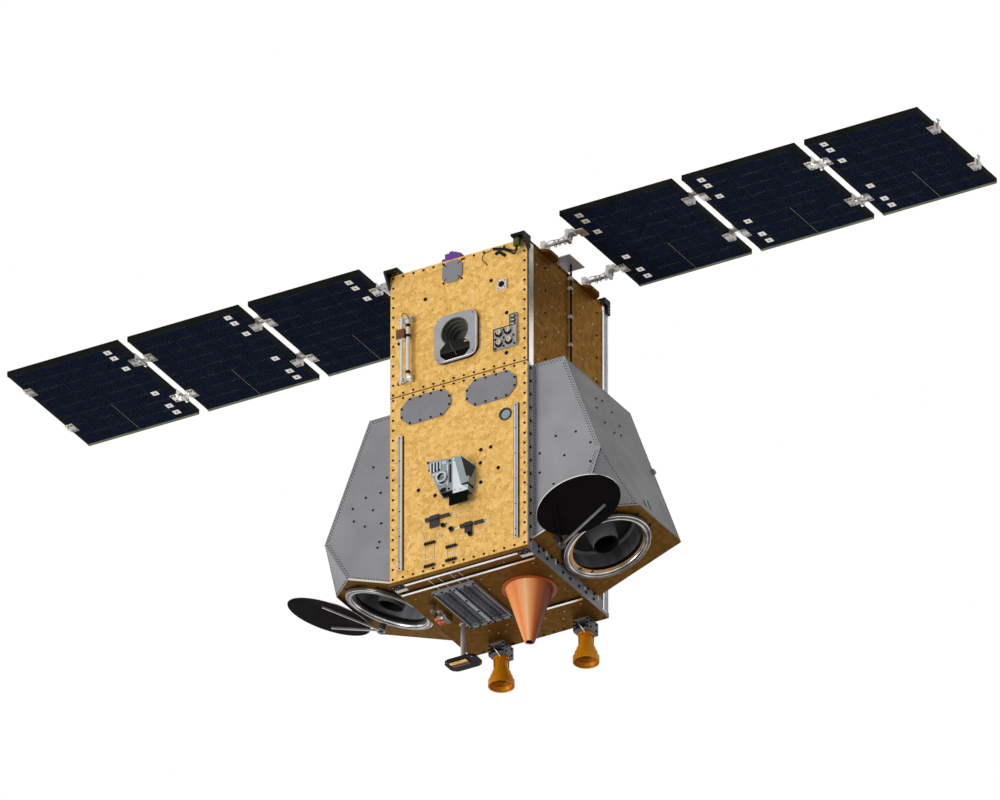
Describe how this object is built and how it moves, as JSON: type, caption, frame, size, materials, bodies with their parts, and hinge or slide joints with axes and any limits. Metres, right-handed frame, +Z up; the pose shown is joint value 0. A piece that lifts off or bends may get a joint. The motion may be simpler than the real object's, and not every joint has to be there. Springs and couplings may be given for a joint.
{
  "type": "earth observation microsatellite",
  "caption": "Box-bodied imaging satellite with slanted telescopes in side housings, swing lids, fold-out solar wings, antennas and a round separation ring.",
  "frame": {"origin": "centre of the separation ring's mating face on top of the body", "axes": "+Z up, away from the telescopes; +X along the right wing; -Y out of the front face with the star tracker"},
  "size_m": [4.018, 0.8411, 1.6876],
  "materials": {
    "bare_metal": "machined",
    "black_inside": "matt black paint",
    "brown_foil": "smooth amber metallised foil",
    "cells": "dark blue solar cells",
    "copper": "copper sheet",
    "dark_glass": "second-surface mirror strips",
    "gold_foil": "crinkled metallised foil blanket",
    "green_plug": "moulded plug",
    "grey_aluminium": "satin, riveted",
    "lid_black": "matt black blanket",
    "orange_horn": "amber coating over metal",
    "polished_hoop": "polished",
    "purple_cap": "moulded dust cap",
    "white_paint": "white thermal paint"
  },
  "bodies": {
    "satellite_body": {"back_panel": "brown_foil", "cable_ducts": "white_paint", "cone_antenna": "copper", "connector_caps": "purple_cap", "connector_panel": "grey_aluminium", "corner_posts": "white_paint", "deck": "brown_foil", "deck_antenna": "bare_metal", "earth_sensor": "grey_aluminium", "floor_panel": "brown_foil", "floor_strips": "white_paint", "front_covers": "grey_aluminium", "front_lower_panel": "gold_foil", "front_upper_panel": "gold_foil", "harness_fittings": "bare_metal", "harness_wires": "bare_metal", "horn_brackets": "grey_aluminium", "horns": "orange_horn", "left_aperture_hoop": "polished_hoop", "left_aperture_plate": "brown_foil", "left_barrel": "black_inside", "left_central_baffle": "black_inside", "left_housing": "grey_aluminium", "lid_posts": "bare_metal", "magnet_bars": "bare_metal", "patch_mast": "bare_metal", "radiator": "dark_glass", "right_aperture_hoop": "polished_hoop", "right_aperture_plate": "brown_foil", "right_barrel": "black_inside", "right_central_baffle": "black_inside", "right_housing": "grey_aluminium", "separation_ring": "bare_metal", "side_panels": "brown_foil", "side_rails": "grey_aluminium", "star_tracker_baffle": "black_inside", "star_tracker_plate": "grey_aluminium", "sun_sensors": "bare_metal", "test_lead": "black_inside", "test_plug": "green_plug", "top_corner_brackets": "black_inside", "valves": "bare_metal", "whip_antenna": "bare_metal", "wing_arms": "bare_metal"},
    "right_inner": {"right_inner_panel": "cells", "right_inner_fittings": "bare_metal"},
    "right_middle": {"right_middle_panel": "cells", "right_middle_fittings": "bare_metal"},
    "right_outer": {"right_outer_panel": "cells", "right_outer_fittings": "bare_metal"},
    "right_lid": {"right_lid": "lid_black", "right_lid_arms": "bare_metal"},
    "left_inner": {"left_inner_panel": "cells", "left_inner_fittings": "bare_metal"},
    "left_middle": {"left_middle_panel": "cells", "left_middle_fittings": "bare_metal"},
    "left_outer": {"left_outer_panel": "cells", "left_outer_fittings": "bare_metal"},
    "left_lid": {"left_lid": "lid_black", "left_lid_arms": "bare_metal"}
  },
  "joints": [
    {"name": "right_wing_root", "type": "hinge", "parent": "satellite_body", "child": "right_inner", "pos_m": [0.4185, 0, 0.0166], "axis": [0, 1, 0], "range_deg": [0, 90]},
    {"name": "right_wing_middle", "type": "hinge", "parent": "right_inner", "child": "right_middle", "pos_m": [0.9525, 0, 0.0366], "axis": [0, -1, 0], "range_deg": [0, 180]},
    {"name": "right_wing_outer", "type": "hinge", "parent": "right_middle", "child": "right_outer", "pos_m": [1.4865, 0, -0.0034], "axis": [0, 1, 0], "range_deg": [0, 180]},
    {"name": "left_wing_root", "type": "hinge", "parent": "satellite_body", "child": "left_inner", "pos_m": [-0.4185, 0, 0.0166], "axis": [0, -1, 0], "range_deg": [0, 90]},
    {"name": "left_wing_middle", "type": "hinge", "parent": "left_inner", "child": "left_middle", "pos_m": [-0.9525, 0, 0.0366], "axis": [0, 1, 0], "range_deg": [0, 180]},
    {"name": "left_wing_outer", "type": "hinge", "parent": "left_middle", "child": "left_outer", "pos_m": [-1.4865, 0, -0.0034], "axis": [0, -1, 0], "range_deg": [0, 180]},
    {"name": "right_lid_swing", "type": "hinge", "parent": "satellite_body", "child": "right_lid", "pos_m": [0.38075, -0.19076, -1.35505], "axis": [-0.3486, 0, 0.9373], "range_deg": [0, 100.3]},
    {"name": "left_lid_swing", "type": "hinge", "parent": "satellite_body", "child": "left_lid", "pos_m": [-0.61551, 0.16928, -1.26774], "axis": [0.3486, 0, 0.9373], "range_deg": [0, 107]}
  ],
  "couplings": [
    {"joint": "right_wing_middle", "follows": "right_wing_root", "ratio": 2},
    {"joint": "right_wing_outer", "follows": "right_wing_root", "ratio": 2},
    {"joint": "left_wing_middle", "follows": "left_wing_root", "ratio": 2},
    {"joint": "left_wing_outer", "follows": "left_wing_root", "ratio": 2}
  ]
}
